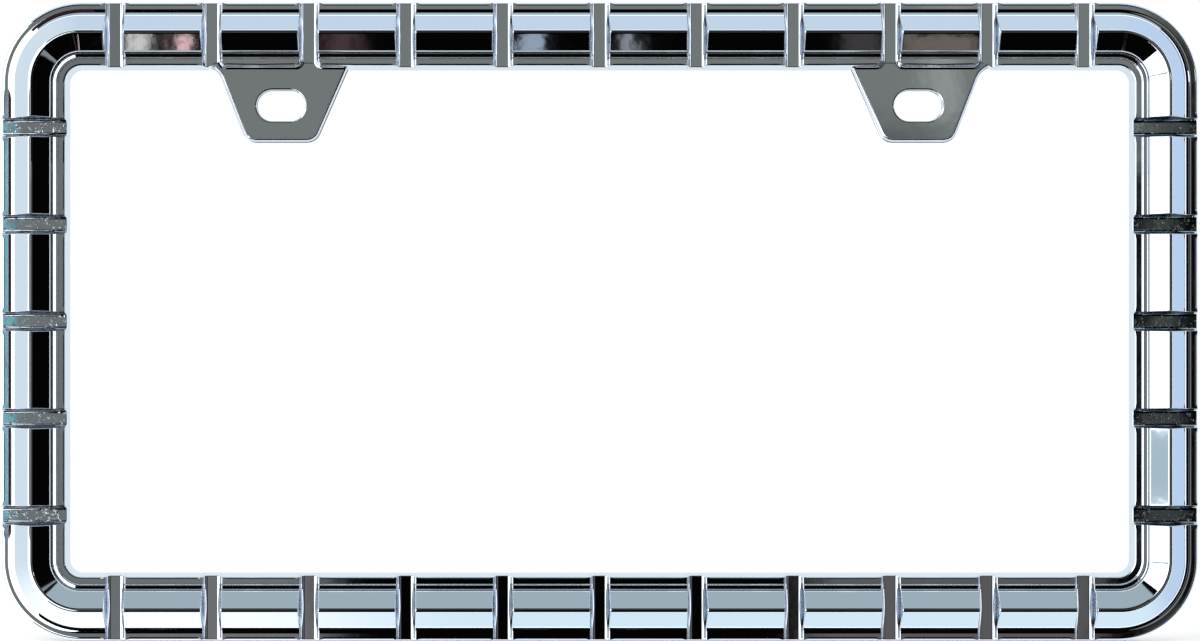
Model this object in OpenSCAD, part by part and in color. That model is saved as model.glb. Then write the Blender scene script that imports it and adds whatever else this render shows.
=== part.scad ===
// Number plate holder: a chromed frame cast in one piece, with cross grooves that
// divide its bars into links and two slotted tabs for the plate's upper screws.
// It stands as it is worn: X across, Z up, front towards -Y, back face at y = 0.
// The origin is midway between the two screw slots, on the back face.

/* [Frame] */
// Overall width, over the outer edges at the back
frame_w = 333.4; // [300:0.1:360]
// Overall height, over the outer edges at the back
frame_h = 177.8; // [150:0.1:220]
// Outer corner radius at the back
corner_r = 22.4; // [20:0.1:30]

/* [Bar widths] */
// Outer rim, from the back edge to the foot of the outer facet
outer_rim_w = 3.15; // [2.5:0.05:4]
// Outer facet, from its foot to the ridge
outer_facet_w = 5.55; // [4.5:0.05:7]
// Inner facet, from the ridge to its edge
inner_facet_w = 5.3; // [4:0.05:7]
// Small shelf beside the inner facet
shelf_w = 1.5; // [0.8:0.05:2]
// Inner rim, from the shelf to the back edge
inner_rim_w = 3.2; // [2.2:0.05:4]

/* [Bar heights] */
// Height of both rims above the back
rim_h = 4; // [3:0.1:5]
// Height of the ridge above the back, before its edge is rounded
ridge_h = 10.4; // [8.5:0.1:13]
// Height of the inner facet's edge above the back
inner_edge_h = 6.6; // [6:0.05:8]
// Rise of the shelf above the inner rim
shelf_rise = 0.6; // [0.3:0.05:1]

/* [Bar edges] */
// Slope of the outer side, as a width
outer_side_lean = 0.15; // [0:0.05:0.6]
// Slope of the wall below the inner facet, as a width
wall_lean = 0.25; // [0.05:0.05:0.5]
// Slope of the shelf's own step, as a width
shelf_lean = 0.15; // [0.05:0.05:0.3]
// Slope of the inner side, as a width
inner_side_lean = 1.05; // [0.2:0.05:1.3]
// Radius of the rim's outer edge
outer_edge_r = 0.45; // [0.2:0.05:0.8]
// Radius of the large cove between the outer rim and the outer facet
rim_cove_r = 2.75; // [1:0.05:3.2]
// Radius of the ridge
ridge_r = 0.95; // [0.4:0.05:1.5]
// Radius of the inner facet's edge
facet_edge_r = 0.45; // [0.2:0.05:0.8]
// Radii of the shelf's inside corner and outside corner
shelf_r = 0.25; // [0.1:0.05:0.3]
// Radius of the rim's inner edge
inner_edge_r = 0.7; // [0.3:0.05:1]

/* [Grooves] */
// Distance from groove to groove
groove_pitch = 27; // [20:0.5:40]
// Opening of a groove at the height of the rims
groove_w = 5.1; // [4:0.1:7]
// Lean of a groove's walls, in degrees
groove_draft = 2; // [0:0.5:8]
// Radius at the foot of a groove's walls
groove_cove_r = 1.25; // [0.4:0.05:1.4]
// Height of the grooves' floors above the back
floor_h = 2.5; // [2:0.1:3]

/* [Hollow back] */
// Wall over a hollow
wall = 2; // [1.5:0.1:2.5]
// Flat land behind the outer rim
outer_land_w = 3.6; // [3:0.1:4.5]
// Flat land behind the inner rim
inner_land_w = 6.3; // [5.5:0.1:7.5]
// Slope of a hollow's sides, as a width
hollow_lean = 0.15; // [0.05:0.05:0.4]

/* [Tabs] */
// Distance between the two screw slots
slot_spacing = 177.8; // [150:0.1:200]
// Length of a slot from end to end
slot_length = 13.4; // [9.5:0.1:15]
// Width of a slot
slot_w = 8.5; // [6:0.1:9.2]
// Slots' centre below the top bar's back edge
slot_drop = 10; // [8:0.1:12]
// Length of a tab below the top bar's back edge
tab_drop = 20.2; // [18:0.1:26]
// Reach of a tab's top from its slot's centre towards the frame's middle
tab_inner_reach = 19; // [15:0.1:22]
// Reach of a tab's top from its slot's centre towards the frame's corner
tab_outer_reach = 18; // [15:0.1:22]
// Width of a tab at its lower corners
tab_bottom_w = 19.5; // [17:0.5:28]
// Radius of a tab's lower corners
tab_corner_r = 4; // [0.5:0.1:5]
// Radius of the web where a tab's outer side meets the bar
tab_outer_web_r = 5; // [2:0.1:8]
// Radius of the web where a tab's inner side meets the bar
tab_inner_web_r = 1.2; // [0.5:0.1:3]
// Radius at the foot of the links that stand on a tab
tab_cove_r = 0.95; // [0.5:0.05:1.2]
// Depth of the tabs' fronts below the groove floors that run out onto them
tab_sink = 0.05; // [0.03:0.01:0.2]

/* [Hidden] */
$fn = 64;
corner_facets = 128;
// How far a cut runs past the face that it opens
clear = 2;
// How far a rounding's patch runs past the outline, from the middle of its arc
patch_overrun = 1.2;

// Widths measured from the outer back edge
ridge_at = outer_rim_w + outer_facet_w;
facet_end_at = ridge_at + inner_facet_w;
shelf_end_at = facet_end_at + shelf_w;
bar_w = shelf_end_at + inner_rim_w;

// Centres of the corner arcs
corner_x = frame_w / 2 - corner_r;
corner_y = frame_h / 2 - corner_r;

// Half openings of a groove
groove_floor_half = groove_w / 2 - (rim_h - floor_h) * tan(groove_draft);
groove_top = ridge_h + clear;
groove_top_half = groove_w / 2 + (groove_top - rim_h) * tan(groove_draft);
groove_ridge_half = groove_w / 2 + (ridge_h - rim_h) * tan(groove_draft);
// Half of the solid web behind a groove
web_half = groove_ridge_half + wall;

// The top bar's inner back edge, from which the tabs and slots are measured
bar_edge_y = frame_h / 2 - bar_w;
slot_y = bar_edge_y - slot_drop;
tab_h = floor_h - tab_sink;
// Top of the cove on a tab, and its wall, which stands just inside the bar there
tab_cove_top = tab_h + 0.75 * tab_cove_r;
tab_root_y = bar_edge_y + inner_side_lean * tab_cove_top / rim_h + 0.1;

function unit(v) = v / norm(v);

// Height of the line from p to q at a given width
function height_on(p, q, at) = p[1] + (q[1] - p[1]) * (at - p[0]) / (q[0] - p[0]);

// Drop of that line, measured upright, when it moves inwards by the wall
function wall_drop(p, q) = wall * norm(q - p) / abs(q[0] - p[0]);

// Outline of the bar: width from the outer back edge, height above the back
facet_foot = [outer_rim_w, rim_h];
ridge = [ridge_at, ridge_h];
facet_end = [facet_end_at, inner_edge_h];
bar_points = [
    [0, 0],
    [outer_side_lean, rim_h],
    facet_foot,
    ridge,
    facet_end,
    [facet_end_at + wall_lean, rim_h + shelf_rise],
    [shelf_end_at, rim_h + shelf_rise],
    [shelf_end_at + shelf_lean, rim_h],
    [bar_w - inner_side_lean, rim_h],
    [bar_w, 0]
];
// One radius for each point: above 0 rounds an outside corner, below 0 fills an inside one
bar_radii = [
    0, outer_edge_r, -rim_cove_r, ridge_r, facet_edge_r,
    -shelf_r, shelf_r, -shelf_r, inner_edge_r, 0
];

// Outline of the hollow behind the bar, one wall below the two facets
hollow_from = outer_land_w;
hollow_to = bar_w - inner_land_w;
outer_line_drop = wall_drop(facet_foot, ridge);
inner_line_drop = wall_drop(ridge, facet_end);
outer_rise = (ridge[1] - facet_foot[1]) / (ridge[0] - facet_foot[0]);
inner_fall = (ridge[1] - facet_end[1]) / (facet_end[0] - ridge[0]);
// Shift of the hollow's peak from below the ridge, where the two lowered lines meet
peak_shift = (outer_line_drop - inner_line_drop) / (outer_rise + inner_fall);
hollow_points = [
    [hollow_from, 0],
    [hollow_from + hollow_lean,
        height_on(facet_foot, ridge, hollow_from + hollow_lean) - outer_line_drop],
    [ridge_at + peak_shift, ridge_h + outer_rise * peak_shift - outer_line_drop],
    [hollow_to - hollow_lean,
        height_on(ridge, facet_end, hollow_to - hollow_lean) - inner_line_drop],
    [hollow_to, 0]
];

// Region between the corner b of the path a, b, c and a rounding of radius r there,
// running past the path so that it cuts or fills without sharing an edge with it
module corner_patch(a, b, c, r) {
    to_a = unit(a - b);
    to_c = unit(c - b);
    half = acos(to_a * to_c) / 2;
    middle = b + unit(to_a + to_c) * r / sin(half);
    reach = r / tan(half);
    rim = [b + to_a * reach, b, b + to_c * reach];
    difference() {
        polygon([middle, for (p = rim) middle + (p - middle) * patch_overrun]);
        translate(middle) circle(r);
    }
}

// Closed outline with a true arc at each corner that has a radius
module rounded(points, radii) {
    count = len(points);
    difference() {
        union() {
            polygon(points);
            for (i = [0 : count - 1])
                if (radii[i] < 0)
                    corner_patch(points[(i + count - 1) % count], points[i],
                        points[(i + 1) % count], -radii[i]);
        }
        for (i = [0 : count - 1])
            if (radii[i] > 0)
                corner_patch(points[(i + count - 1) % count], points[i],
                    points[(i + 1) % count], radii[i]);
    }
}

// A width from the outer back edge becomes a distance from the corner arc's centre
function from_centre(points) = [for (p = points) [corner_r - p[0], p[1]]];

module bar_section() {
    rounded(from_centre(bar_points), bar_radii);
}

module hollow_section() {
    polygon(from_centre(hollow_points));
}

// Two opposite straight bars with the section given as child
module straight_pair(half_length, centre_out, turn) {
    for (side = [0, 180])
        rotate([0, 0, turn + side])
            translate([-half_length, centre_out, 0])
                rotate([90, 0, 90])
                    linear_extrude(2 * half_length) children();
}

// Closed ring of four straight bars and four corner arcs
module ring() {
    straight_pair(corner_x, corner_y, 0) children();
    straight_pair(corner_y, corner_x, 90) children();
    for (x = [-1, 1], y = [-1, 1])
        translate([x * corner_x, y * corner_y, 0])
            rotate([0, 0, x > 0 ? (y > 0 ? 0 : 270) : (y > 0 ? 90 : 180)])
                rotate_extrude(angle = 90, $fn = corner_facets) children();
}

// Places the child across the bars, once at each groove
module at_grooves() {
    across = floor((corner_x - web_half) / groove_pitch);
    upright = floor((corner_y - web_half) / groove_pitch);
    for (side = [0, 180], i = [-across : across])
        rotate([0, 0, side])
            translate([i * groove_pitch, frame_h / 2 + clear, 0]) children();
    for (side = [90, 270], i = [-upright : upright])
        rotate([0, 0, side])
            translate([i * groove_pitch, frame_w / 2 + clear, 0]) children();
}

module groove_cut() {
    rotate([90, 0, 0])
        linear_extrude(bar_w + 2 * clear)
            rounded([
                [-groove_floor_half, floor_h],
                [groove_floor_half, floor_h],
                [groove_top_half, groove_top],
                [-groove_top_half, groove_top]
            ], [groove_cove_r, groove_cove_r, 0, 0]);
}

module groove_web() {
    translate([-web_half, -bar_w - 2 * clear, -clear])
        cube([2 * web_half, bar_w + 2 * clear, ridge_h + clear]);
}

module hollows() {
    difference() {
        ring() hollow_section();
        at_grooves() groove_web();
    }
}

// Plan of the right-hand tab, wide at the bar and webbed to it on both sides
module tab_plan() {
    bottom_half = tab_bottom_w / 2;
    bottom_y = bar_edge_y - tab_drop;
    root_end_y = tab_root_y + inner_rim_w / 4;
    inner_end = -tab_inner_reach - tab_inner_web_r;
    outer_end = tab_outer_reach + tab_outer_web_r;
    rounded([
        [inner_end, root_end_y],
        [inner_end, tab_root_y],
        [-tab_inner_reach, tab_root_y],
        [-bottom_half, bottom_y],
        [bottom_half, bottom_y],
        [tab_outer_reach, tab_root_y],
        [outer_end, tab_root_y],
        [outer_end, root_end_y]
    ], [0, 0, -tab_inner_web_r, tab_corner_r, tab_corner_r, -tab_outer_web_r, 0, 0]);
}

// What is cleared above a tab's front: it leaves a cove along the foot of the links
module tab_clearing() {
    far = tab_root_y - bar_edge_y + tab_drop + clear;
    reach = tab_inner_reach + tab_outer_web_r + clear;
    translate([-reach, tab_root_y, tab_h])
        rotate([90, 0, 90])
            linear_extrude(2 * reach)
                rounded([
                    [-far, 0],
                    [0, 0],
                    [0, clear],
                    [-far, clear]
                ], [0, tab_cove_r, 0, 0]);
}

// Tab for the right-hand screw
module tab() {
    translate([slot_spacing / 2, 0, 0])
        difference() {
            linear_extrude(tab_cove_top) tab_plan();
            tab_clearing();
        }
}

module slot_cut() {
    reach = (slot_length - slot_w) / 2;
    translate([slot_spacing / 2, slot_y, -clear])
        linear_extrude(floor_h + 2 * clear)
            union() {
                square([2 * reach, slot_w], center = true);
                for (side = [-1, 1])
                    translate([side * reach, 0]) circle(slot_w / 2);
            }
}

module both_sides() {
    children();
    mirror([1, 0, 0]) children();
}

module plate_frame() {
    color("silver")
        rotate([90, 0, 0])
            translate([0, -slot_y, 0])
                difference() {
                    union() {
                        ring() bar_section();
                        both_sides() tab();
                    }
                    at_grooves() groove_cut();
                    hollows();
                    both_sides() slot_cut();
                }
}

plate_frame();
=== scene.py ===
"""Looks for the number plate holder: a polished chrome frame in front of a white ground.

The frame is one casting, so it is dressed by one closed skin that stands for the CAD node
plate_frame. The skin repeats the casting's sizes and adds what the node leaves out: small
roundings on every groove's edges, on the tabs and on the slots, the slight lean of the tabs'
sides, and the rounded corners of the links that stand on a tab.
Sizes are in millimetres until the last step of a mesh. The local plane is x across and
y up from the middle of the frame, and heights are measured forwards from the back face.
"""

import math

import bpy
import numpy as np
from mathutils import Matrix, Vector
from mathutils.geometry import tessellate_polygon


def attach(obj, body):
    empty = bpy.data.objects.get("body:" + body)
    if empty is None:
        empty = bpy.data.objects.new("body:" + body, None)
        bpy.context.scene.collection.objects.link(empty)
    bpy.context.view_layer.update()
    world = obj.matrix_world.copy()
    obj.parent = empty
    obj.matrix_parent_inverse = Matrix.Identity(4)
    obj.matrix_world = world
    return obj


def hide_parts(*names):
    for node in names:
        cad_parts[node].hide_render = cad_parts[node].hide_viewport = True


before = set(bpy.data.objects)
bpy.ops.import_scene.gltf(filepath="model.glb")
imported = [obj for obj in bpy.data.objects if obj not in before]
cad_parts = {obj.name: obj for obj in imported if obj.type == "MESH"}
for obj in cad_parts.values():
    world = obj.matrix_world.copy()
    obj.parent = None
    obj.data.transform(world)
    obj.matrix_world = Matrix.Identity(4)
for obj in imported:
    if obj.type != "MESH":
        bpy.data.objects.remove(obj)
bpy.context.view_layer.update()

MM = 0.001

# The frame's outline
FRAME_W = 333.4
FRAME_H = 177.8
CORNER_R = 22.4
CORNER_X = FRAME_W / 2 - CORNER_R
CORNER_Y = FRAME_H / 2 - CORNER_R
CORNER_STEPS = 30

# The bar's section: widths from the outer back edge, heights above the back
BAR_W = 18.7
RIM_H = 4.0
SHELF_LOW = 4.52
SHELF_H = 4.62
RIM_END = 17.65
FRONT_POINTS = [
    (0.15, RIM_H), (3.15, RIM_H), (8.7, 10.4), (14.0, 6.6),
    (14.25, SHELF_LOW), (15.5, SHELF_H), (15.65, RIM_H), (RIM_END, RIM_H),
]
# Radius of each rounding between the first and the last of these points
FRONT_RADII = [2.75, 0.95, 0.9, 0.25, 0.32, 0.25]
ARC_STEP = math.radians(12)
OUTER_LEAN = 0.15
INNER_LEAN = 1.05

# Edge radii of the rims: at a groove's floor, at its upper edge and on the link
FLOOR_EDGE_R = 0.3
LIP_EDGE_R = 0.26
OUTER_EDGE_R = 0.85
INNER_EDGE_R = 0.65
# On a link the radius starts to grow this far from the groove's middle, over this length
EDGE_GROWS_FROM = 3.0
EDGE_GROWS_OVER = 1.2

# The bars in order are right, top, left and bottom
TOP_BAR = 1

# The grooves
PITCH = 27.0
GROOVE_HALF = 2.55
DRAFT = math.tan(math.radians(2))
FLOOR_H = 2.5
COVE_R = 1.25
COVE_TURN = math.radians(88)
LIP_R = 0.28
GROOVES_ACROSS = 5
GROOVES_UPRIGHT = 2
COVE_STEPS = 7
LIP_STEPS = 5
EDGE_STEPS = 5
# The cove's last column and the lip's first one stand this far apart on the back
BACK_GAP = 0.05

# Shading: faces that meet at a larger angle keep a crease, and wide faces win by this power
SHARP_COS = math.cos(math.radians(50))
WIDE_WINS = 10
# In square metres, so that a face without area divides nothing by zero
TINY_AREA = 1e-14

# The hollow back, open between the solid webs behind the grooves
HOLLOW_POINTS = [(12.4, 0.0), (12.25, 5.394), (9.016, 7.712), (3.75, 1.639), (3.6, 0.0)]
WEB_HALF = 4.7735
WEB_GAP = 0.02
# Where the columns of a link stand, from a groove's middle to the end of its web
LINK_PLACES = (3.08, 3.2, 3.4, 3.65, 3.85, 4.2, WEB_HALF - WEB_GAP, WEB_HALF)

# The tabs and their slots
SLOT_SPACING = 177.8
SLOT_L = 13.4
SLOT_W = 8.5
SLOT_Y = 60.2
SLOT_LEAN = 0.08
SLOT_EDGE_R = 0.5
SLOT_STEPS = 24
TAB_ROOT_Y = 71.143
TAB_BOTTOM_Y = 50.0
TAB_INNER_REACH = 19.0
TAB_OUTER_REACH = 18.0
TAB_BOTTOM_HALF = 9.75
TAB_CORNER_R = 4.0
TAB_OUTER_WEB_R = 5.0
TAB_INNER_WEB_R = 1.2
TAB_UNDER_BAR = 1.9
TAB_LEAN = 0.3
TAB_EDGE_R = 0.85
# The tabs' fronts lie this much below the groove floors, and their backs inside the bar
TAB_SINK = 0.003
TAB_BACK = 0.004

# The links that stand on a tab: plan radius of their corners, and the cove at their foot
LINK_CORNER_R = 1.3
LINK_CORNER_S = RIM_END - LINK_CORNER_R
# Rows that would meet in one point there are kept this far apart
APART = 0.006
FOOT_R = 0.95
FOOT_S = 17.757
FOOT_START_S = 15.9
FOOT_CORNER_R = FOOT_S - LINK_CORNER_S + 0.1
FOOT_RISE = 0.002
FOOT_INSIDE = 0.3
FOOT_BOTTOM = 1.0
FOOT_TURN_STEPS = 10
FOOT_COVE_STEPS = 8
# Where the cove runs out at the tab's inner side: x, width, outward normal and cove radius
FOOT_RUN_OUT = [
    (71.6, FOOT_S, (0.0, 1.0), FOOT_R),
    (70.6, 17.35, (-0.45, 0.893), 0.7),
    (69.9, 16.9, (-0.45, 0.893), 0.45),
]


def unit(v):
    return v / np.linalg.norm(v)


def rounded_path(points, radii):
    """An open path with an arc at each inner corner, as points and upward normals."""
    points = [np.array(p, float) for p in points]
    places = [points[0]]
    normals = []
    for a, b, c, r in zip(points, points[1:], points[2:], radii):
        to_a, to_c = unit(a - b), unit(c - b)
        half = math.acos(float(to_a @ to_c)) / 2
        middle = b + unit(to_a + to_c) * r / math.sin(half)
        start = b + to_a * r / math.tan(half) - middle
        end = b + to_c * r / math.tan(half) - middle
        turn = math.atan2(start[0] * end[1] - start[1] * end[0], float(start @ end))
        steps = max(2, round(abs(turn) / ARC_STEP))
        outside = 1 if turn < 0 else -1
        for k in range(steps + 1):
            angle = turn * k / steps
            spoke = np.array([
                start[0] * math.cos(angle) - start[1] * math.sin(angle),
                start[0] * math.sin(angle) + start[1] * math.cos(angle),
            ])
            places.append(middle + spoke)
            normals.append(outside * unit(spoke))
    places.append(points[-1])
    normals.insert(0, np.array([0.0, 1.0]))
    normals.append(np.array([0.0, 1.0]))
    return np.array(places), np.array(normals)


def wall_half(height):
    """Half the opening of a groove at a height on its leaning wall."""
    return GROOVE_HALF + (height - RIM_H) * DRAFT


FLAT_HALF = wall_half(FLOOR_H + COVE_R) - COVE_R / math.cos(math.atan(DRAFT))


class Column:
    """One section across the bar. Its kind says where it crosses a groove.

    floor and cove give a place on the groove's bottom, lip a place on the rounding of its
    upper edge, and link a place on the untouched bar, all at a distance from its middle.
    A column on a tab belongs to a link whose inner corner is rounded in plan."""

    def __init__(self, kind, amount, base_t, on_tab=False):
        self.kind = kind
        self.amount = amount
        self.base_t = base_t
        self.on_tab = on_tab

    def ledge(self):
        """Distance, height and upward normal where this column crosses a rim."""
        if self.kind == "floor":
            return self.amount, FLOOR_H, np.array([0.0, 1.0])
        if self.kind == "cove":
            normal = np.array([-math.sin(self.amount), math.cos(self.amount)])
            return (FLAT_HALF + COVE_R * math.sin(self.amount),
                    FLOOR_H + COVE_R * (1 - math.cos(self.amount)), normal)
        if self.kind == "lip":
            start = wall_half(RIM_H - LIP_R)
            normal = np.array([-math.cos(self.amount), math.sin(self.amount)])
            return (start + LIP_R * (1 - math.cos(self.amount)),
                    RIM_H - LIP_R * (1 - math.sin(self.amount)), normal)
        return self.amount, RIM_H, np.array([0.0, 1.0])

    def edge_radius(self, on_link):
        """Radius of the rim's edge, small along a groove and growing on the link."""
        if self.kind in ("floor", "cove"):
            return FLOOR_EDGE_R
        if self.kind == "lip":
            return LIP_EDGE_R
        grown = min(1.0, max(0.0, (self.amount - EDGE_GROWS_FROM) / EDGE_GROWS_OVER))
        return LIP_EDGE_R + (on_link - LIP_EDGE_R) * grown * grown * (3 - 2 * grown)

    def front(self, places, normals):
        """Distance, width and height of each row of the bar's front."""
        lip_s = places[:, 0] - normals[:, 0] * LIP_R
        lip_h = places[:, 1] - normals[:, 1] * LIP_R
        ones = np.ones(len(places))
        if self.kind in ("floor", "cove"):
            t, h, _ = self.ledge()
            return t * ones, lip_s, h * ones
        if self.kind == "lip":
            depth = LIP_R * (1 - math.sin(self.amount))
            t = wall_half(lip_h) + LIP_R * (1 - math.cos(self.amount))
            return t, places[:, 0] - normals[:, 0] * depth, places[:, 1] - normals[:, 1] * depth
        return self.amount * ones, places[:, 0], places[:, 1]

    def rim_edge(self, lean, on_link):
        """From the rim's top over its rounded edge to the back: distance, width, height."""
        t, h, normal = self.ledge()
        radius = self.edge_radius(on_link)
        slope = lean / RIM_H
        tilt = math.atan(slope * normal[1])
        reach = radius / math.tan((math.pi / 2 + tilt) / 2)
        rows = []
        for k in range(EDGE_STEPS + 1):
            angle = (math.pi / 2 - tilt) * k / EDGE_STEPS
            depth = radius * (1 - math.cos(angle))
            inward = reach - radius * math.sin(angle)
            rows.append((t - normal[0] * depth, slope * h + inward, h - normal[1] * depth))
        rows.append((self.base_t, 0.0, 0.0))
        return np.array(rows)

    def corner_edge(self):
        """The inner rim's edge round a link's rounded corner: distance, place, height."""
        t, h, _ = self.ledge()
        if self.kind in ("floor", "cove"):
            rows = [(t, LINK_CORNER_S + APART * k, h - APART * k) for k in range(EDGE_STEPS + 1)]
            foot = LINK_CORNER_S + APART * (EDGE_STEPS + 1)
            return np.array(rows + [(self.base_t, foot, 0.0)])
        wall = wall_half(RIM_H - LIP_R)
        middle = wall + LINK_CORNER_R
        radius = LIP_R if self.kind == "lip" else max(LIP_R, self.edge_radius(INNER_EDGE_R))
        rows = []
        for k in range(EDGE_STEPS + 1):
            angle = math.pi / 2 * k / EDGE_STEPS
            from_wall = min(radius * (1 - math.sin(angle)), max(0.0, t - wall))
            across = max(0.0, middle - t)
            along = (LINK_CORNER_R - from_wall) ** 2 - across ** 2
            drop = radius - math.sqrt(max(0.0, radius ** 2 - (radius - from_wall) ** 2))
            rows.append((t, LINK_CORNER_S + math.sqrt(max(0.0, along)) + APART * k,
                         RIM_H - drop - APART * k))
        _, foot, top = rows[-1]
        rows.append((self.base_t, foot + INNER_LEAN * top / RIM_H, 0.0))
        return np.array(rows)


def half_groove(on_tab=False):
    """The columns from the middle of a groove to the solid bar behind it."""
    bends = COVE_STEPS + LIP_STEPS
    reach = wall_half(RIM_H - LIP_R) + LIP_R
    spread = [FLAT_HALF + (reach - FLAT_HALF) * k / bends for k in range(bends + 1)]
    columns = [Column("floor", FLAT_HALF, spread[0], on_tab)]
    for k in range(1, COVE_STEPS + 1):
        columns.append(Column("cove", COVE_TURN * k / COVE_STEPS, spread[k], on_tab))
    for k in range(LIP_STEPS + 1):
        place = spread[COVE_STEPS + k] if k else spread[COVE_STEPS] + BACK_GAP
        columns.append(Column("lip", math.pi / 2 * k / LIP_STEPS, place, on_tab))
    for t in LINK_PLACES:
        columns.append(Column("link", t, t, on_tab))
    return columns


def section_rows(column, front_places, front_normals):
    """One closed section of the bar as distance, width and height, outer back edge first."""
    outer = column.rim_edge(OUTER_LEAN, OUTER_EDGE_R)[::-1]
    if column.on_tab:
        inner = column.corner_edge()
    else:
        inner = column.rim_edge(INNER_LEAN, INNER_EDGE_R)
        inner[:, 1] = BAR_W - inner[:, 1]
    t, s, h = column.front(front_places[1:-1], front_normals[1:-1])
    front = np.stack([t, s, h], axis=1)
    solid_back = column.kind != "link" or column.amount < WEB_HALF
    back = [(column.base_t, s, 0.0 if solid_back else h) for s, h in HOLLOW_POINTS]
    return np.concatenate([outer, front, inner, np.array(back)])


def place_rows(rows, mirrored, along, half_out, turn):
    """The section's points in the local plane, on the bar whose outside faces the turn."""
    t = along + (-rows[:, 0] if mirrored else rows[:, 0])
    out = half_out - rows[:, 1]
    c, s = math.cos(turn), math.sin(turn)
    return np.stack([out * c - t * s, out * s + t * c, rows[:, 2]], axis=1)


def stands_on_tab(quarter, index, side):
    """True for the half of a groove whose link has its inner corner on a tab."""
    if quarter != TOP_BAR:
        return False
    edge = index * PITCH + side * GROOVE_HALF
    from_slot = abs(edge) - SLOT_SPACING / 2
    return -TAB_INNER_REACH < from_slot < TAB_OUTER_REACH


def bar_grid():
    """All sections round the frame, each a row of points of the closed skin."""
    places, normals = rounded_path(FRONT_POINTS, FRONT_RADII)
    plain = section_rows(Column("link", WEB_HALF, 0.0), places, normals)
    plain[:, 0] = 0.0
    halves = {
        on_tab: [section_rows(c, places, normals) for c in half_groove(on_tab)]
        for on_tab in (False, True)
    }
    grid = []
    for quarter in range(4):
        turn = quarter * math.pi / 2
        upright = quarter % 2 == 0
        count = GROOVES_UPRIGHT if upright else GROOVES_ACROSS
        half_out = (FRAME_W if upright else FRAME_H) / 2
        length = CORNER_Y if upright else CORNER_X
        grid.append(place_rows(plain, False, -length, half_out, turn))
        for i in range(-count, count + 1):
            for rows in reversed(halves[stands_on_tab(quarter, i, -1)]):
                grid.append(place_rows(rows, True, i * PITCH, half_out, turn))
            for rows in halves[stands_on_tab(quarter, i, 1)]:
                grid.append(place_rows(rows, False, i * PITCH, half_out, turn))
            if i < count:
                grid.append(place_rows(plain, False, (i + 0.5) * PITCH, half_out, turn))
        grid.append(place_rows(plain, False, length, half_out, turn))
        grid += corner_sections(plain, quarter)
    return np.array(grid)


def corner_sections(plain, quarter):
    """The plain section swept round the corner that follows a bar."""
    middle_turn = (quarter + 0.5) * math.pi / 2
    middle = np.array([
        math.copysign(CORNER_X, math.cos(middle_turn)),
        math.copysign(CORNER_Y, math.sin(middle_turn)), 0.0,
    ])
    sections = []
    for k in range(1, CORNER_STEPS):
        turn = (quarter + k / CORNER_STEPS) * math.pi / 2
        sections.append(middle + place_rows(plain, False, 0.0, CORNER_R, turn))
    return sections


def grid_faces(columns, rows):
    """Quads of a grid that closes on itself both ways."""
    index = np.arange(columns * rows).reshape(columns, rows)
    after = np.roll(index, -1, axis=0)
    return np.stack([
        index, after, np.roll(after, -1, axis=1), np.roll(index, -1, axis=1),
    ], axis=-1).reshape(-1, 4).tolist()


def tab_outline():
    """The right tab's outline round its slot's centre, clockwise, with outward normals."""
    root = TAB_ROOT_Y - SLOT_Y
    bottom = TAB_BOTTOM_Y - SLOT_Y
    end = root + TAB_UNDER_BAR
    inner_end = -TAB_INNER_REACH - TAB_INNER_WEB_R
    outer_end = TAB_OUTER_REACH + TAB_OUTER_WEB_R
    corners = [
        (inner_end, end), (outer_end, end), (outer_end, root), (TAB_OUTER_REACH, root),
        (TAB_BOTTOM_HALF, bottom), (-TAB_BOTTOM_HALF, bottom),
        (-TAB_INNER_REACH, root), (inner_end, root),
    ]
    radii = [0, 0, 0, TAB_OUTER_WEB_R, TAB_CORNER_R, TAB_CORNER_R, TAB_INNER_WEB_R, 0]
    return plan_loop(corners, radii)


def plan_loop(corners, radii):
    """A clockwise outline with arcs, as points and the outward shift per unit of growth."""
    corners = [np.array(p, float) for p in corners]
    loop = []
    for i, (corner, radius) in enumerate(zip(corners, radii)):
        before = corners[i - 1]
        after = corners[(i + 1) % len(corners)]
        if radius:
            places, normals = rounded_path([before, corner, after], [radius])
            loop += list(zip(places[1:-1], normals[1:-1]))
            continue
        side_in = unit(corner - before)
        side_out = unit(after - corner)
        out = np.array([-side_in[1], side_in[0]]) + np.array([-side_out[1], side_out[0]])
        loop.append((corner, out * 2 / (out @ out)))
    return np.array([p for p, _ in loop]), np.array([n for _, n in loop])


def slot_loop():
    """The slot's outline round its own centre, clockwise, with outward normals."""
    reach = (SLOT_L - SLOT_W) / 2
    places, normals = [], []
    for side in (1, -1):
        for k in range(SLOT_STEPS + 1):
            angle = math.pi / 2 - math.pi * k / SLOT_STEPS
            spoke = side * np.array([math.cos(angle), math.sin(angle)])
            places.append(np.array([side * reach, 0.0]) + spoke * SLOT_W / 2)
            normals.append(spoke)
    return np.array(places), np.array(normals)


def edge_profile(front, lean, radius):
    """Growth and height of the loops up a leaning side to its rounded front edge."""
    rows = [(0.0, 0.0)]
    for k in range(EDGE_STEPS + 1):
        angle = math.pi / 2 * k / EDGE_STEPS
        rows.append((radius * (math.cos(angle) - 1) - lean,
                     front - radius * (1 - math.sin(angle))))
    return rows


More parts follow.
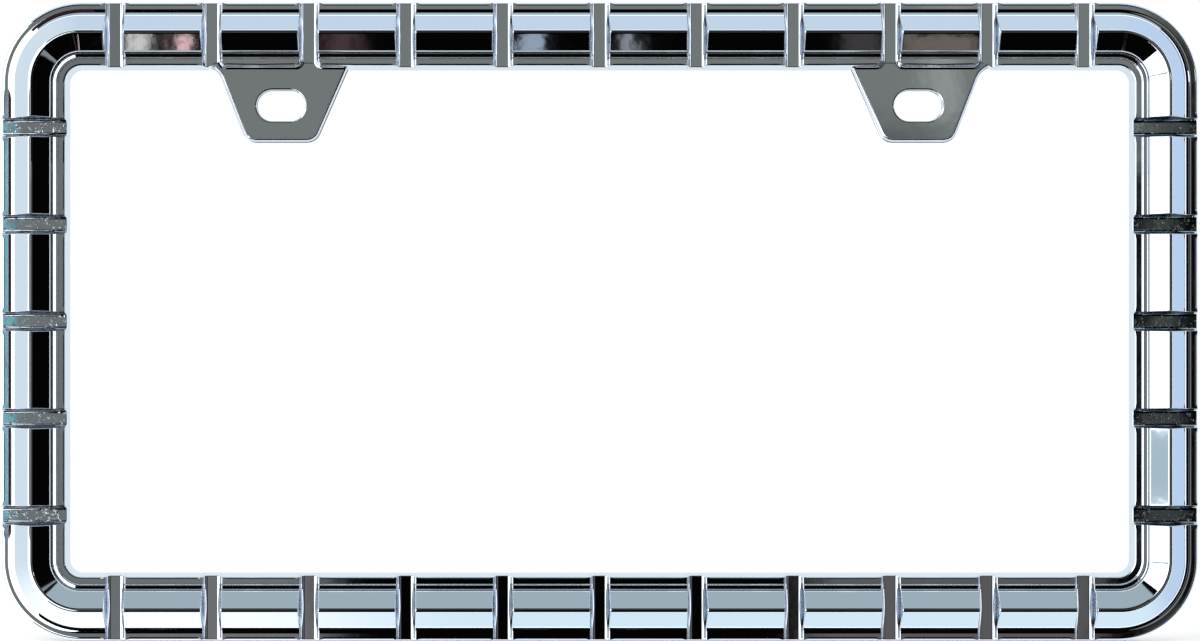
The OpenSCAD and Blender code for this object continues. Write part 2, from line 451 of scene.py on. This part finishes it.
def tab_mesh(mirror):
    """The closed mesh of one tab as local points and faces."""
    outer, outer_grow = tab_outline()
    hole, hole_grow = slot_loop()
    front = FLOOR_H - TAB_SINK
    points = side_levels(outer, outer_grow, edge_profile(front, TAB_LEAN, TAB_EDGE_R))
    points += side_levels(hole, -hole_grow, edge_profile(front, SLOT_LEAN, SLOT_EDGE_R))
    points = np.array(points)
    last_row = EDGE_STEPS + 1
    hole_start = (last_row + 1) * len(outer)
    faces = side_faces(0, len(outer), last_row, False)
    faces += side_faces(hole_start, len(hole), last_row, True)
    for row, backwards in ((0, True), (last_row, False)):
        outer_first = row * len(outer)
        hole_first = hole_start + row * len(hole)
        loops = (range(outer_first, outer_first + len(outer)),
                 range(hole_first, hole_first + len(hole)))
        faces += cap_faces(points, loops, backwards)
    return mirrored_part(points, faces, mirror)


def side_levels(plan, grow, profile):
    """The loops of points up one side of the right tab."""
    points = []
    for growth, height in profile:
        level = plan + growth * grow
        points += [(p[0] + SLOT_SPACING / 2, p[1] + SLOT_Y, max(height, TAB_BACK))
                   for p in level]
    return points


def side_faces(start, count, rows, flip):
    """Quads between the loops of one side, from its first point on."""
    faces = []
    for row in range(rows):
        for k in range(count):
            a = start + row * count + k
            b = start + row * count + (k + 1) % count
            quad = (a, b, b + count, a + count)
            faces.append(quad[::-1] if flip else quad)
    return faces


def cap_faces(points, loops, backwards):
    """Triangles that fill the tab's outline round its slot, both given as point numbers."""
    index = [i for loop in loops for i in loop]
    outline = [[(*points[i][:2], 0.0) for i in loop] for loop in loops]
    return [facing((index[a], index[b], index[c]), points, backwards)
            for a, b, c in tessellate_polygon(outline)]


def mirrored_part(points, faces, mirror):
    """The same mesh, or its mirror image on the left with its faces turned back out."""
    if mirror:
        points[:, 0] *= -1
        faces = [f[::-1] for f in faces]
    return points, faces


def facing(triangle, points, backwards):
    """The triangle turned so that its normal points forwards, or backwards."""
    a, b, c = (points[i] for i in triangle)
    forwards = (b[0] - a[0]) * (c[1] - a[1]) - (b[1] - a[1]) * (c[0] - a[0]) > 0
    return triangle if forwards != backwards else triangle[::-1]


def corner_arc(x, toward, rising):
    """Path of a link's foot round one corner: x, width, outward normal and cove radius."""
    middle = (x + toward * FOOT_CORNER_R, FOOT_S - FOOT_CORNER_R)
    stations = [(x, FOOT_START_S, (-toward, 0.0), COVE_R)]
    for k in range(FOOT_TURN_STEPS + 1):
        angle = math.pi / 2 * k / FOOT_TURN_STEPS
        out = (-toward * math.cos(angle), math.sin(angle))
        radius = COVE_R + (FOOT_R - COVE_R) * k / FOOT_TURN_STEPS
        stations.append((middle[0] + FOOT_CORNER_R * out[0],
                         middle[1] + FOOT_CORNER_R * out[1], out, radius))
    return stations if rising else stations[::-1]


def foot_stations():
    """The two runs of coves at the feet of the links on the right tab."""
    wall = wall_half(FLOOR_H + COVE_R) - FOOT_RISE
    inner_groove = 3 * PITCH
    outer_groove = 4 * PITCH
    between_grooves = corner_arc(inner_groove + wall, 1, True)
    between_grooves += corner_arc(outer_groove - wall, -1, False)
    inside = corner_arc(inner_groove - wall, -1, True) + FOOT_RUN_OUT
    return between_grooves, inside


def foot_mesh(stations, clockwise, mirror):
    """A closed strip with a cove on its outer side, swept along the stations."""
    floor = FLOOR_H - TAB_SINK + FOOT_RISE
    points = []
    for x, s, out, radius in stations:
        profile = []
        for k in range(FOOT_COVE_STEPS + 1):
            angle = math.pi / 2 * k / FOOT_COVE_STEPS
            profile.append((radius * (1 - math.sin(angle)),
                            floor + radius * (1 - math.cos(angle))))
        profile += [(-FOOT_INSIDE, floor + radius), (-FOOT_INSIDE, FOOT_BOTTOM)]
        profile.append((radius, FOOT_BOTTOM))
        for shift, height in profile:
            points.append((x + out[0] * shift, FRAME_H / 2 - s - out[1] * shift, height))
    count = len(points) // len(stations)
    faces = []
    for i in range(len(stations) - 1):
        for k in range(count):
            a, b = i * count + k, i * count + (k + 1) % count
            faces.append((a, b, b + count, a + count))
    last = (len(stations) - 1) * count
    faces.append(tuple(range(count))[::-1])
    faces.append(tuple(range(last, last + count)))
    if clockwise:
        faces = [f[::-1] for f in faces]
    return mirrored_part(np.array(points), faces, mirror)


def to_world(points):
    """Local millimetres to the frame's metres: x stays, y goes up, heights go forwards."""
    return np.stack([
        points[:, 0], -points[:, 2], points[:, 1] - SLOT_Y,
    ], axis=1) * MM


def build_skin():
    """The whole casting's skin: the linked bar, its two tabs and the feet of the links."""
    grid = bar_grid()
    parts = [(grid.reshape(-1, 3), grid_faces(*grid.shape[:2]))]
    between_grooves, inside = foot_stations()
    for mirror in (False, True):
        parts.append(tab_mesh(mirror))
        parts.append(foot_mesh(between_grooves, False, mirror))
        parts.append(foot_mesh(inside, True, mirror))
    points, faces = [], []
    for part_points, part_faces in parts:
        shift = sum(len(p) for p in points)
        points.append(part_points)
        faces += [tuple(i + shift for i in f) for f in part_faces]
    mesh = bpy.data.meshes.new("plate_frame_skin")
    mesh.from_pydata(to_world(np.concatenate(points)).tolist(), [], faces)
    mesh.validate()
    mesh.shade_smooth()
    shade_by_wide_faces(mesh)
    skin = bpy.data.objects.new("plate_frame_skin", mesh)
    bpy.context.scene.collection.objects.link(skin)
    return skin


def shade_by_wide_faces(mesh):
    """Smooth normals in which the wide faces win, so that they mirror as planes do."""
    normals = [face.normal.copy() for face in mesh.polygons]
    areas = [face.area for face in mesh.polygons]
    around = [[] for _ in mesh.vertices]
    for face in mesh.polygons:
        for vertex in face.vertices:
            around[vertex].append(face.index)
    shading = []
    for face in mesh.polygons:
        for vertex in face.vertices:
            near = [f for f in around[vertex] if normals[f].dot(face.normal) > SHARP_COS]
            widest = max(max(areas[f] for f in near), TINY_AREA)
            total = Vector()
            for f in near:
                total += normals[f] * (areas[f] / widest) ** WIDE_WINS
            shading.append(total.normalized())
    mesh.normals_split_custom_set(shading)


# Chrome's own colour, and the strength of what is photographed as pure white in it
CHROME = (0.66, 0.71, 0.78)
BRIGHT = (2.4, 2.4, 2.4)

# The chrome's finish: scale and detail of each noise, strength and metres of each bump
HAZE = (45, 3)
ROUGHNESS = (0.01, 0.06)
WAVES, WAVE_BUMP = (120, 2), (0.3, 0.00005)
PITS, PIT_BUMP = (900, 2), (0.12, 0.000008)
GRAINS, GRAIN_BUMP = (1400, 1), (0.5, 0.00006)
# Where the grains fade in: noise value, metres from the frame's middle and metres of depth
GRAIN_LEVELS = (0.62, 0.72)
GRAIN_ASIDE = (0.1475, 0.1485)
GRAIN_DEPTHS = (-0.0034, -0.0028)

# The room that the chrome mirrors: half width, floor and ceiling, and the wall behind the camera
ROOM_X = 1.0
ROOM_LOW = -1.06
ROOM_HIGH = 0.94
ROOM_FAR = -1.3
# The walls are white up to this far in front of the frame's back
WHITE_BAND = 0.1
# Half size of an area that has no end in a direction
WIDE = 9.0
# Scale and detail of the noise that makes an area's edge wobble
WOBBLE = (14, 3)

# The floor under the frame: half width, edges, gap below the frame, colour and own glow
GROUND_X = 0.9
GROUND_FRONT, GROUND_BACK = -1.0, 0.12
GROUND_GAP = 0.0002
GROUND_WHITE = (0.9, 0.9, 0.9, 1)
GROUND_GLOW = 0.17

# The light from all round, and the lamp's place, aim, size and power
SURROUND_LIGHT = (0.85, 0.85, 0.85, 1)
LAMP_AT = (-0.7, -0.9, 1.1)
LAMP_AIM = (0, 0, -0.1)
LAMP_SIZE = (1.0, 0.8)
LAMP_WATTS = 6


def chrome_material():
    """Polished chrome with a faint haze, fine pits and the waviness of a casting."""
    material = bpy.data.materials.new("chrome plate")
    material.use_nodes = True
    nodes, links = material.node_tree.nodes, material.node_tree.links
    shader = nodes["Principled BSDF"]
    shader.inputs["Base Color"].default_value = (*CHROME, 1)
    shader.inputs["Metallic"].default_value = 1.0
    place = nodes.new("ShaderNodeTexCoord").outputs["Object"]

    haze = noise(nodes, links, place, *HAZE)
    gloss = nodes.new("ShaderNodeMapRange")
    gloss.inputs["To Min"].default_value = ROUGHNESS[0]
    gloss.inputs["To Max"].default_value = ROUGHNESS[1]
    links.new(haze, gloss.inputs["Value"])
    links.new(gloss.outputs[0], shader.inputs["Roughness"])

    relief = bump(nodes, links, noise(nodes, links, place, *WAVES), *WAVE_BUMP, None)
    relief = bump(nodes, links, noise(nodes, links, place, *PITS), *PIT_BUMP, relief)
    relief = bump(nodes, links, groove_grit(nodes, links, place), *GRAIN_BUMP, relief)
    links.new(relief, shader.inputs["Normal"])
    return material


def bump(nodes, links, height, strength, distance, under):
    """A relief of this height on top of the relief under it, if there is one."""
    node = nodes.new("ShaderNodeBump")
    node.inputs["Strength"].default_value = strength
    node.inputs["Distance"].default_value = distance
    links.new(height, node.inputs["Height"])
    if under:
        links.new(under, node.inputs["Normal"])
    return node.outputs[0]


def groove_grit(nodes, links, place):
    """Scattered grains of the casting, left only on the groove floors of the upright bars."""
    grains = between(nodes, links, noise(nodes, links, place, *GRAINS), *GRAIN_LEVELS)
    axes = nodes.new("ShaderNodeSeparateXYZ")
    links.new(place, axes.inputs[0])
    aside = nodes.new("ShaderNodeMath")
    aside.operation = "ABSOLUTE"
    links.new(axes.outputs["X"], aside.inputs[0])
    on_upright = between(nodes, links, aside.outputs[0], *GRAIN_ASIDE)
    deep = between(nodes, links, axes.outputs["Y"], *GRAIN_DEPTHS)
    height = grains
    for mask in (on_upright, deep):
        times = nodes.new("ShaderNodeMath")
        times.operation = "MULTIPLY"
        links.new(height, times.inputs[0])
        links.new(mask, times.inputs[1])
        height = times.outputs[0]
    return height


def between(nodes, links, value, low, high):
    """0 up to the low value, 1 from the high value on."""
    ramp = nodes.new("ShaderNodeMapRange")
    ramp.inputs["From Min"].default_value = low
    ramp.inputs["From Max"].default_value = high
    links.new(value, ramp.inputs["Value"])
    return ramp.outputs[0]


def noise(nodes, links, place, scale, detail):
    """A noise value over an object's own coordinates."""
    node = nodes.new("ShaderNodeTexNoise")
    node.inputs["Scale"].default_value = scale
    node.inputs["Detail"].default_value = detail
    links.new(place, node.inputs["Vector"])
    return node.outputs["Fac"]


def mirrored_as(*rgb):
    """The light that chrome shows as this screen colour, by the curve of sRGB."""
    linear = [((c / 255 + 0.055) / 1.055) ** 2.4 if c > 10 else c / 255 / 12.92 for c in rgb]
    return tuple(c / own for c, own in zip(linear, CHROME))


def flat_sheet(name, corners):
    """A sheet between four corners, as an object of its own."""
    mesh = bpy.data.meshes.new(name)
    mesh.from_pydata(corners, [], [(0, 1, 2, 3)])
    sheet = bpy.data.objects.new(name, mesh)
    bpy.context.scene.collection.objects.link(sheet)
    return sheet


def stage_panel(name, corners, colour, areas):
    """A glowing panel that only reflections see, with soft-edged areas of other colours.

    An area is its colour, its middle and half sizes in world metres, its softness as a share
    of the half sizes, and its edge's wobble in metres."""
    panel = flat_sheet(name, corners)
    material = bpy.data.materials.new(name)
    material.use_nodes = True
    nodes, links = material.node_tree.nodes, material.node_tree.links
    nodes.remove(nodes["Principled BSDF"])
    glow = nodes.new("ShaderNodeEmission")
    glow.inputs["Color"].default_value = (*colour, 1)
    place = nodes.new("ShaderNodeTexCoord").outputs["Object"]
    last = None
    for area in areas:
        mix = nodes.new("ShaderNodeMix")
        mix.data_type = "RGBA"
        mix.inputs["A"].default_value = (*colour, 1)
        if last:
            links.new(last, mix.inputs["A"])
        mix.inputs["B"].default_value = (*area[0], 1)
        links.new(area_mask(nodes, links, place, *area[1:]), mix.inputs["Factor"])
        last = mix.outputs["Result"]
    if last:
        links.new(last, glow.inputs["Color"])
    links.new(glow.outputs[0], nodes["Material Output"].inputs["Surface"])
    panel.data.materials.append(material)
    reflections_only(panel)


def area_mask(nodes, links, place, middle, half, softness, wobble):
    """1 inside a box round the middle and 0 outside, with a soft and wavy edge."""
    if wobble:
        wave = nodes.new("ShaderNodeTexNoise")
        wave.inputs["Scale"].default_value = WOBBLE[0]
        wave.inputs["Detail"].default_value = WOBBLE[1]
        links.new(place, wave.inputs["Vector"])
        shift = nodes.new("ShaderNodeVectorMath")
        shift.operation = "MULTIPLY_ADD"
        links.new(wave.outputs["Color"], shift.inputs[0])
        shift.inputs[1].default_value = (wobble, wobble, wobble)
        links.new(place, shift.inputs[2])
        place = shift.outputs[0]
        middle = [m + wobble / 2 for m in middle]
    steps = (("SUBTRACT", middle), ("DIVIDE", half), ("ABSOLUTE", None))
    for operation, other in steps:
        step = nodes.new("ShaderNodeVectorMath")
        step.operation = operation
        links.new(place, step.inputs[0])
        if other:
            step.inputs[1].default_value = other
        place = step.outputs[0]
    axes = nodes.new("ShaderNodeSeparateXYZ")
    links.new(place, axes.inputs[0])
    farthest = axes.outputs[0]
    for axis in (1, 2):
        larger = nodes.new("ShaderNodeMath")
        larger.operation = "MAXIMUM"
        links.new(farthest, larger.inputs[0])
        links.new(axes.outputs[axis], larger.inputs[1])
        farthest = larger.outputs[0]
    edge = nodes.new("ShaderNodeMapRange")
    edge.interpolation_type = "SMOOTHSTEP"
    edge.inputs["From Min"].default_value = 1 - softness
    edge.inputs["From Max"].default_value = 1 + softness
    edge.inputs["To Min"].default_value = 1
    edge.inputs["To Max"].default_value = 0
    links.new(farthest, edge.inputs["Value"])
    return edge.outputs[0]


def reflections_only(thing):
    """Leave a thing to be seen in the chrome alone."""
    thing.visible_camera = False
    thing.visible_diffuse = False
    thing.visible_shadow = False
    thing.visible_transmission = False


def room_wall(axis, at, colour, areas, name):
    """One wall of the room, across x or z, from the wall behind the camera to the frame."""
    if axis == "x":
        rows = [(at, y, z) for y, z in (
            (ROOM_FAR, ROOM_LOW), (0, ROOM_LOW), (0, ROOM_HIGH), (ROOM_FAR, ROOM_HIGH))]
    else:
        rows = [(x, y, at) for x, y in (
            (-ROOM_X, ROOM_FAR), (ROOM_X, ROOM_FAR), (ROOM_X, 0), (-ROOM_X, 0))]
    glow = (BRIGHT, (0, 0, 0), (WIDE, WHITE_BAND, WIDE), 0.15, 0)
    stage_panel(name, rows, colour, areas + [glow])


def build_room():
    """The room in front of the frame, as the chrome shows it."""
    dark = mirrored_as(4, 4, 5)
    brown = mirrored_as(48, 30, 38)
    grey_blue = mirrored_as(155, 173, 184)
    room_wall("x", -ROOM_X, BRIGHT, [
        (mirrored_as(162, 184, 196), (0, -0.62, -0.131), (WIDE, 0.09, 0.026), 0.06, 0.01),
    ], "left_window")
    room_wall("x", ROOM_X, dark, [
        (BRIGHT, (0, -1.1, 0.17), (WIDE, 0.2, 0.05), 0.05, 0.05),
        (mirrored_as(120, 132, 140), (0, -0.80, 0), (WIDE, 0.05, WIDE), 0.3, 0.03),
    ], "right_wall")
    room_wall("z", ROOM_HIGH, dark, [
        (grey_blue, (0, -0.36, 0), (WIDE, 0.36, WIDE), 0.05, 0.03),
    ], "ceiling")
    room_wall("z", ROOM_LOW, dark, ground_patches(), "ground")
    far_corners = [(x, ROOM_FAR, z) for x, z in (
        (-ROOM_X, ROOM_LOW), (ROOM_X, ROOM_LOW), (ROOM_X, ROOM_HIGH), (-ROOM_X, ROOM_HIGH))]
    stage_panel("far_wall", far_corners, dark, far_wall_areas())
    stage_panel("left_flag", upright_card((-0.264, -0.181), -0.1, (-0.125, 0.012)), brown, [])
    stage_panel("corner_flag", [
        (-0.1443, -0.03, 0.0336), (-0.1443, -0.03, 0.0543),
        (-0.1780, -0.03, 0.0400), (-0.1643, -0.03, 0.0256),
    ], brown, [])
    for name, across in (("left_tab_flag", (-0.150, -0.1125)),
                         ("right_tab_flag", (-0.05, 0.066))):
        stage_panel(name, upright_card(across, -0.04, (-0.014, 0.013)), dark, [])


def upright_card(across, y, up):
    """Corners of a card that faces the frame, from its limits in x and z."""
    return [(across[0], y, up[0]), (across[1], y, up[0]),
            (across[1], y, up[1]), (across[0], y, up[1])]


def ground_patches():
    """What the inner facets of the top bar mirror: dark, with a few paler things."""
    deep = -0.48
    return [
        (mirrored_as(150, 150, 155), (0, -0.17, 0), (WIDE, 0.06, WIDE), 0.4, 0.06),
        (mirrored_as(215, 215, 215), (-0.253, deep, 0), (0.006, 0.010, WIDE), 0.3, 0.02),
        (mirrored_as(235, 200, 205), (-0.224, deep, 0), (0.005, 0.007, WIDE), 0.3, 0.015),
        (mirrored_as(70, 55, 60), (-0.131, deep, 0), (0.010, 0.03, WIDE), 0.9, 0.005),
        (mirrored_as(150, 165, 185), (-0.019, deep, 0), (0.007, 0.008, WIDE), 0.2, 0.015),
        (mirrored_as(140, 145, 155), (0.038, deep, 0), (0.004, 0.02, WIDE), 0.9, 0.004),
        (mirrored_as(60, 58, 60), (0.176, deep, 0), (0.012, 0.02, WIDE), 0.4, 0.01),
        (mirrored_as(105, 98, 95), (0.222, deep, 0), (0.020, 0.008, WIDE), 0.3, 0.015),
    ]


def far_wall_areas():
    """What the flat floors, rims and tabs mirror: the wall behind the camera."""
    return [
        (mirrored_as(112, 118, 118), (0.005, 0, 0.135), (0.375, WIDE, 0.085), 0.05, 0.02),
        (mirrored_as(142, 146, 146), (0.24, 0, 0.10), (0.012, WIDE, 0.05), 0.8, 0.05),
        (mirrored_as(86, 92, 92), (0.20, 0, 0.065), (0.05, WIDE, 0.02), 0.9, 0.05),
        (mirrored_as(108, 110, 112), (-0.26, 0, -0.22), (0.11, WIDE, 0.05), 0.2, 0.04),
        (mirrored_as(88, 88, 90), (0.24, 0, -0.22), (0.09, WIDE, 0.05), 0.2, 0.04),
        (mirrored_as(104, 110, 112), (-0.31, 0, -0.02), (0.04, WIDE, 0.24), 0.1, 0.012),
        (mirrored_as(105, 170, 185), (-0.354, 0, -0.04), (0.0105, WIDE, 0.13), 0.1, 0.003),
        (mirrored_as(62, 68, 68), (0.375, 0, -0.05), (0.010, WIDE, 0.2), 0.9, 0.01),
        (mirrored_as(112, 112, 112), (0.74, 0, 0), (0.215, WIDE, WIDE), 0.08, 0.03),
        (BRIGHT, (-0.70, 0, 0), (0.34, WIDE, WIDE), 0.01, 0.008),
    ]


def build_table():
    """The pale ground that the photographed frame lies on, seen in its leaning sides.

    Its colours are light itself, brightest under the left half and round the outside."""
    size, y = 1.6, 0.02
    corners = upright_card((-size, size), y, (-size, size))
    stage_panel("table", corners, (1.5, 1.55, 1.6), [
        ((0.80, 0.92, 1.03), (0, 0, -0.06), (0.5, WIDE, 0.42), 0.15, 0),
        ((0.935, 1.02, 1.055), (-0.33, 0, -0.06), (0.15, WIDE, 0.2), 0.2, 0),
        ((0.73, 0.88, 1.07), (0.33, 0, -0.06), (0.15, WIDE, 0.2), 0.2, 0),
        ((0.98, 1.14, 1.19), (0, 0, -0.35), (0.6, WIDE, 0.15), 0.2, 0),
        ((1.5, 1.5, 1.5), (-0.2, 0, -0.3), (0.12, WIDE, 0.13), 0.4, 0),
        ((1.0, 1.06, 1.08), (0, 0, -0.06), (0.16, WIDE, 0.085), 0.1, 0),
    ])


def build_floor():
    """A pale floor under the frame, whose own faint glow lifts it to the ground's white."""
    low = -(FRAME_H / 2 + SLOT_Y) * MM - GROUND_GAP
    floor = flat_sheet("floor", [
        (-GROUND_X, GROUND_FRONT, low), (GROUND_X, GROUND_FRONT, low),
        (GROUND_X, GROUND_BACK, low), (-GROUND_X, GROUND_BACK, low),
    ])
    material = bpy.data.materials.new("floor")
    material.use_nodes = True
    shader = material.node_tree.nodes["Principled BSDF"]
    shader.inputs["Base Color"].default_value = GROUND_WHITE
    shader.inputs["Roughness"].default_value = 0.8
    shader.inputs["Specular IOR Level"].default_value = 0.1
    shader.inputs["Emission Color"].default_value = (1, 1, 1, 1)
    shader.inputs["Emission Strength"].default_value = GROUND_GLOW
    floor.data.materials.append(material)
    floor.visible_glossy = False


def build_world():
    """White for the camera and for reflections, a little softer as light."""
    world = bpy.data.worlds.new("white surround")
    bpy.context.scene.world = world
    world.use_nodes = True
    nodes, links = world.node_tree.nodes, world.node_tree.links
    rays = nodes.new("ShaderNodeLightPath")
    total = rays.outputs["Is Camera Ray"]
    for name in ("Is Glossy Ray", "Is Transmission Ray"):
        add = nodes.new("ShaderNodeMath")
        add.operation = "ADD"
        add.use_clamp = True
        links.new(total, add.inputs[0])
        links.new(rays.outputs[name], add.inputs[1])
        total = add.outputs[0]
    mix = nodes.new("ShaderNodeMix")
    mix.data_type = "RGBA"
    mix.inputs["A"].default_value = SURROUND_LIGHT
    mix.inputs["B"].default_value = (1, 1, 1, 1)
    links.new(total, mix.inputs["Factor"])
    links.new(mix.outputs["Result"], nodes["Background"].inputs["Color"])


def build_lamp():
    """One large soft lamp, high on the left, for the shadow on the floor."""
    data = bpy.data.lights.new("soft_lamp", "AREA")
    data.shape = "RECTANGLE"
    data.size, data.size_y = LAMP_SIZE
    data.energy = LAMP_WATTS
    lamp = bpy.data.objects.new("soft_lamp", data)
    bpy.context.scene.collection.objects.link(lamp)
    lamp.location = LAMP_AT
    aim = Vector(LAMP_AIM) - lamp.location
    lamp.rotation_euler = aim.to_track_quat("-Z", "Y").to_euler()
    lamp.visible_glossy = False


# The camera: its distance, where its line of sight is square to the frame, and the image
CAMERA_D = 1050.0
NADIR_X, NADIR_Y = -19.0, -15.0
PIXELS_PER_MM = 3.5855
CENTRE_PX = (599.75, 321.4)
IMAGE_PX = (1200, 641)
SENSOR_W = 36


def build_camera():
    """The photo's camera, with its shift, at the scale of the groove floors."""
    data = bpy.data.cameras.new("camera")
    camera = bpy.data.objects.new("camera", data)
    bpy.context.scene.collection.objects.link(camera)
    data.sensor_width = SENSOR_W
    data.lens = SENSOR_W * PIXELS_PER_MM * (CAMERA_D - FLOOR_H) / IMAGE_PX[0]
    sight = (CENTRE_PX[0] + NADIR_X * PIXELS_PER_MM, CENTRE_PX[1] - NADIR_Y * PIXELS_PER_MM)
    data.shift_x = (IMAGE_PX[0] / 2 - sight[0]) / IMAGE_PX[0]
    data.shift_y = (sight[1] - IMAGE_PX[1] / 2) / IMAGE_PX[0]
    camera.location = (NADIR_X * MM, -CAMERA_D * MM, (NADIR_Y - SLOT_Y) * MM)
    camera.rotation_euler = (math.pi / 2, 0, 0)
    data.clip_start = 0.05
    data.clip_end = 50
    bpy.context.scene.camera = camera


skin = build_skin()
skin.data.materials.append(chrome_material())
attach(skin, "root")
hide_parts("plate_frame")

build_room()
build_table()
build_floor()
build_world()
build_lamp()
build_camera()

bpy.context.scene.view_settings.view_transform = "Standard"
